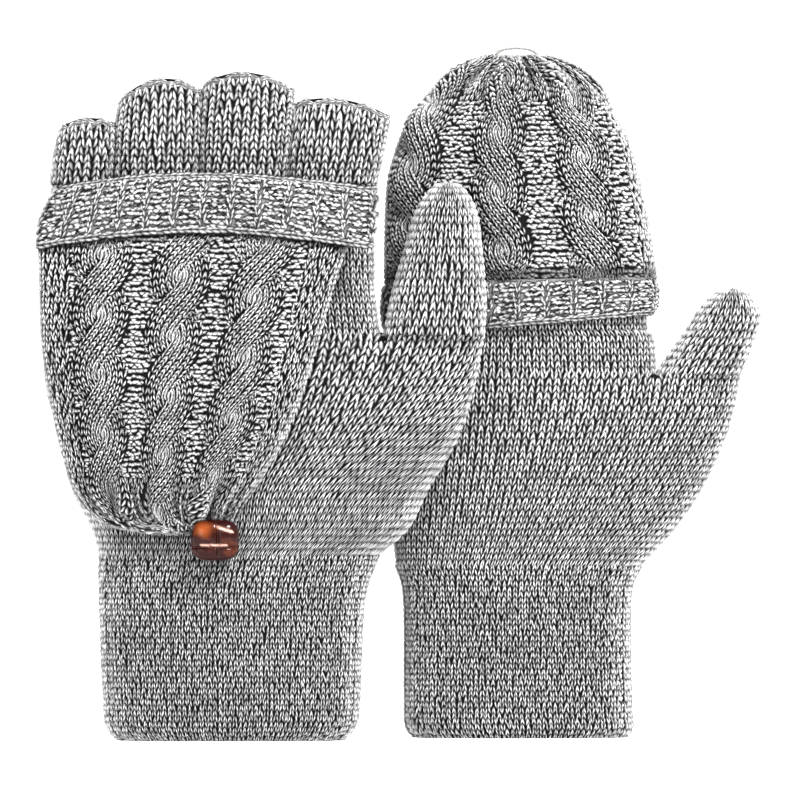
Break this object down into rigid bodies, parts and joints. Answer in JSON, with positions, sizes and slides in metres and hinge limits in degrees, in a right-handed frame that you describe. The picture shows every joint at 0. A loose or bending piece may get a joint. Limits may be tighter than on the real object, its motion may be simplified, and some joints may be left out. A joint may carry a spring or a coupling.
{
  "type": "pair of convertible flip-top mittens",
  "caption": "Pair of cable-knit flip-top mittens: fingerless gloves whose mitten caps hinge on the back, one folded down and looped to its button, one over the fingers",
  "frame": {"origin": "bottom centre of the bounding box, on the surface that the cuffs stand on", "axes": "+Z towards the fingertips, -Y towards the viewer, +X to the viewer's right"},
  "size_m": [0.2584, 0.0838, 0.2498],
  "materials": {
    "yarn": "soft light grey heather knit",
    "rib_yarn": "soft light grey heather rib knit",
    "leather": "glossy dark brown moulded leather look",
    "thread": "waxed dark sewing thread",
    "elastic": "covered pale elastic cord"
  },
  "bodies": {
    "left_mitten": {"left_cuff": "rib_yarn", "left_hand": "yarn", "left_knuckles": "yarn", "left_thumb": "yarn", "left_little_finger": "yarn", "left_ring_finger": "yarn", "left_middle_finger": "yarn", "left_index_finger": "yarn", "left_finger_edges": "rib_yarn", "left_hinge_seam": "rib_yarn", "left_button_shank": "thread"},
    "left_cap_back": {"left_cap_back": "yarn", "left_cap_tip": "yarn"},
    "left_cap_palm": {"left_cap_front": "yarn", "left_cap_sides": "yarn", "left_cap_band": "rib_yarn"},
    "left_loop": {"left_loop": "elastic"},
    "left_button": {"left_button": "leather"},
    "right_mitten": {"right_cuff": "rib_yarn", "right_hand": "yarn", "right_knuckles": "yarn", "right_thumb": "yarn", "right_little_finger": "yarn", "right_ring_finger": "yarn", "right_middle_finger": "yarn", "right_index_finger": "yarn", "right_finger_edges": "rib_yarn", "right_hinge_seam": "rib_yarn", "right_button_shank": "thread"},
    "right_cap_back": {"right_cap_back": "yarn", "right_cap_tip": "yarn"},
    "right_cap_palm": {"right_cap_front": "yarn", "right_cap_sides": "yarn", "right_cap_band": "rib_yarn"},
    "right_loop": {"right_loop": "elastic"},
    "right_button": {"right_button": "leather"}
  },
  "joints": [
    {"name": "right_mitten_place", "type": "slide", "parent": "left_mitten", "child": "right_mitten", "axis": [1, 0, 0], "range_m": [0, 0.12]},
    {"name": "left_cap_flip", "type": "hinge", "parent": "left_mitten", "child": "left_cap_back", "pos_m": [-0.074, -0.0278, 0.164], "axis": [-1, 0, 0], "range_deg": [0, 180], "deforming": ["left_cap_front", "left_cap_sides", "left_cap_band", "left_loop"]},
    {"name": "left_cap_fill", "type": "slide", "parent": "left_cap_back", "child": "left_cap_palm", "axis": [0, -1, 0], "range_m": [0, 0.022]},
    {"name": "left_loop_swing", "type": "hinge", "parent": "left_cap_back", "child": "left_loop", "pos_m": [-0.0673, -0.0297, 0.079], "axis": [1, 0, 0], "range_deg": [-60, 60], "stiffness_Nm_per_rad": 0.0002},
    {"name": "left_button_turn", "type": "hinge", "parent": "left_mitten", "child": "left_button", "pos_m": [-0.0673, -0.0275, 0.0713], "axis": [0, -1, 0], "range_deg": [-40, 40], "stiffness_Nm_per_rad": 0.0005},
    {"name": "right_cap_flip", "type": "hinge", "parent": "right_mitten", "child": "right_cap_back", "pos_m": [0.043, 0.0306, 0.164], "axis": [-1, 0, 0], "range_deg": [0, 180], "deforming": ["right_cap_front", "right_cap_sides", "right_cap_band"]},
    {"name": "right_cap_fill", "type": "slide", "parent": "right_cap_back", "child": "right_cap_palm", "axis": [0, 1, 0], "range_m": [0, 0.0175]},
    {"name": "right_loop_swing", "type": "hinge", "parent": "right_cap_back", "child": "right_loop", "pos_m": [0.0418, 0.023, 0.2462], "axis": [1, 0, 0], "range_deg": [-60, 60], "stiffness_Nm_per_rad": 0.0002},
    {"name": "right_button_turn", "type": "hinge", "parent": "right_mitten", "child": "right_button", "pos_m": [0.042, 0.0302, 0.0695], "axis": [0, 1, 0], "range_deg": [-40, 40], "stiffness_Nm_per_rad": 0.0005}
  ],
  "couplings": [
    {"joint": "left_cap_fill", "follows": "left_cap_flip", "m_per_rad": 0.007002},
    {"joint": "right_cap_fill", "follows": "right_cap_flip", "m_per_rad": 0.005569}
  ]
}
